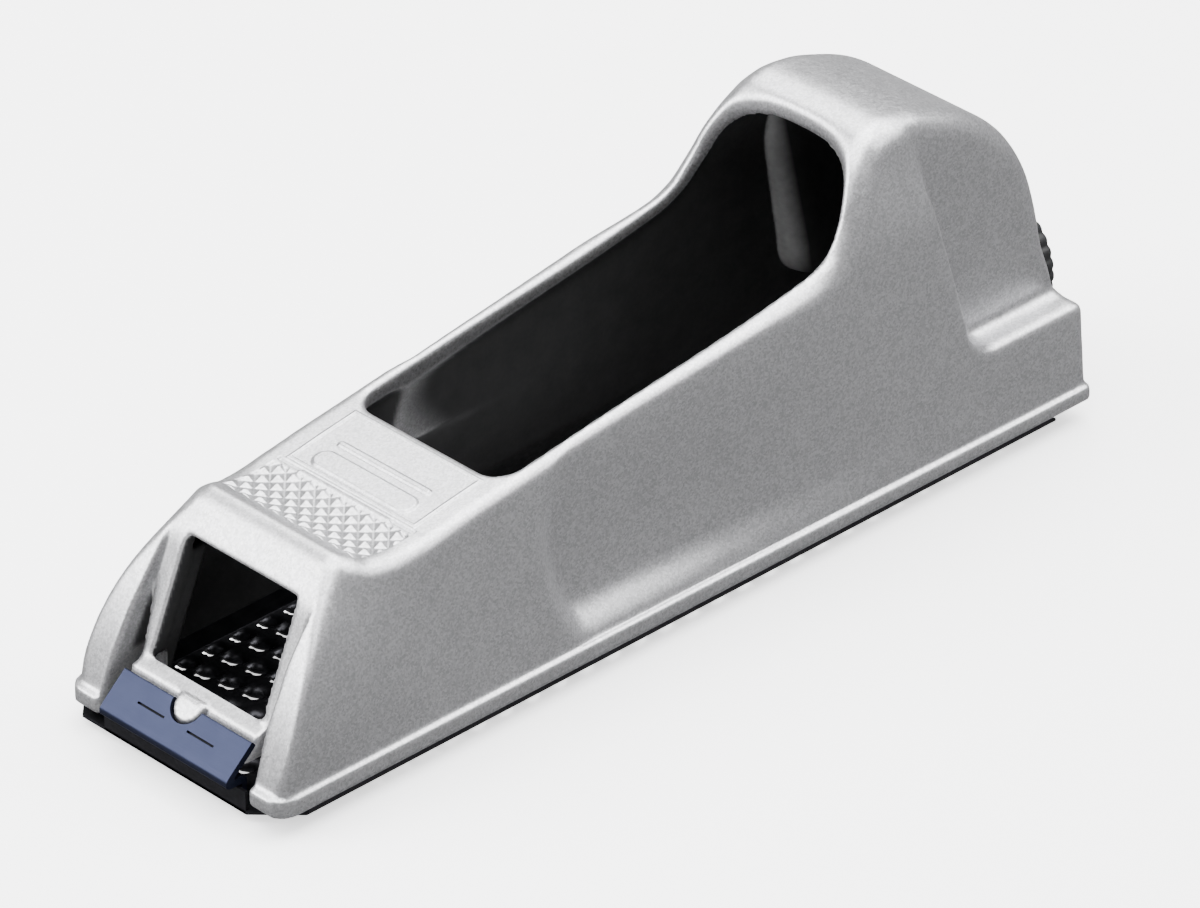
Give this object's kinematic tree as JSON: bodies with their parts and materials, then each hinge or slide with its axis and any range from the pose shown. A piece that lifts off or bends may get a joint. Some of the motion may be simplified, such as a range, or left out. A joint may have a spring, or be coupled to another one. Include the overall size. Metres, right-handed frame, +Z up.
{
  "type": "block plane",
  "caption": "Small perforated-rasp block plane: a cast metal body with a palm opening, over a toothed steel blade held by a toe clip and a heel tension knob.",
  "frame": {"origin": "middle of the box on the plane that the tooth tips stand on", "axes": "-X towards the toe, +X towards the heel and its knob, +Z up, Y across"},
  "size_m": [0.165, 0.0438, 0.0585],
  "materials": {
    "silver_casting": "satin metallic silver paint with a fine sparkle",
    "black_steel": "black-oxide sheet steel, semi-gloss",
    "blue_steel": "blue-grey zinc-plated sheet steel",
    "zinc_steel": "bright zinc plating",
    "black_plastic": "fine-grained moulded black"
  },
  "bodies": {
    "root": {"body_casting": "silver_casting", "blade": "black_steel", "knob_washer": "zinc_steel"},
    "knob": {"tension_knob": "black_plastic", "tension_screw": "zinc_steel", "retaining_ring": "zinc_steel"},
    "hook": {"heel_hook": "zinc_steel", "square_nut": "zinc_steel"},
    "clip": {"toe_clip": "blue_steel"}
  },
  "joints": [
    {"name": "knob_turn", "type": "hinge", "parent": "root", "child": "knob", "pos_m": [0.079, 0, 0.0172], "axis": [1, 0, 0], "range_deg": [0, 1800]},
    {"name": "hook_slide", "type": "slide", "parent": "root", "child": "hook", "axis": [-1, 0, 0], "range_m": [0, 0.004]},
    {"name": "clip_swing", "type": "hinge", "parent": "root", "child": "clip", "pos_m": [-0.0796, 0, 0.0072], "axis": [0, -1, 0], "range_deg": [0, 12]}
  ],
  "couplings": [
    {"joint": "hook_slide", "follows": "knob_turn", "m_per_rad": 0.0001273}
  ]
}
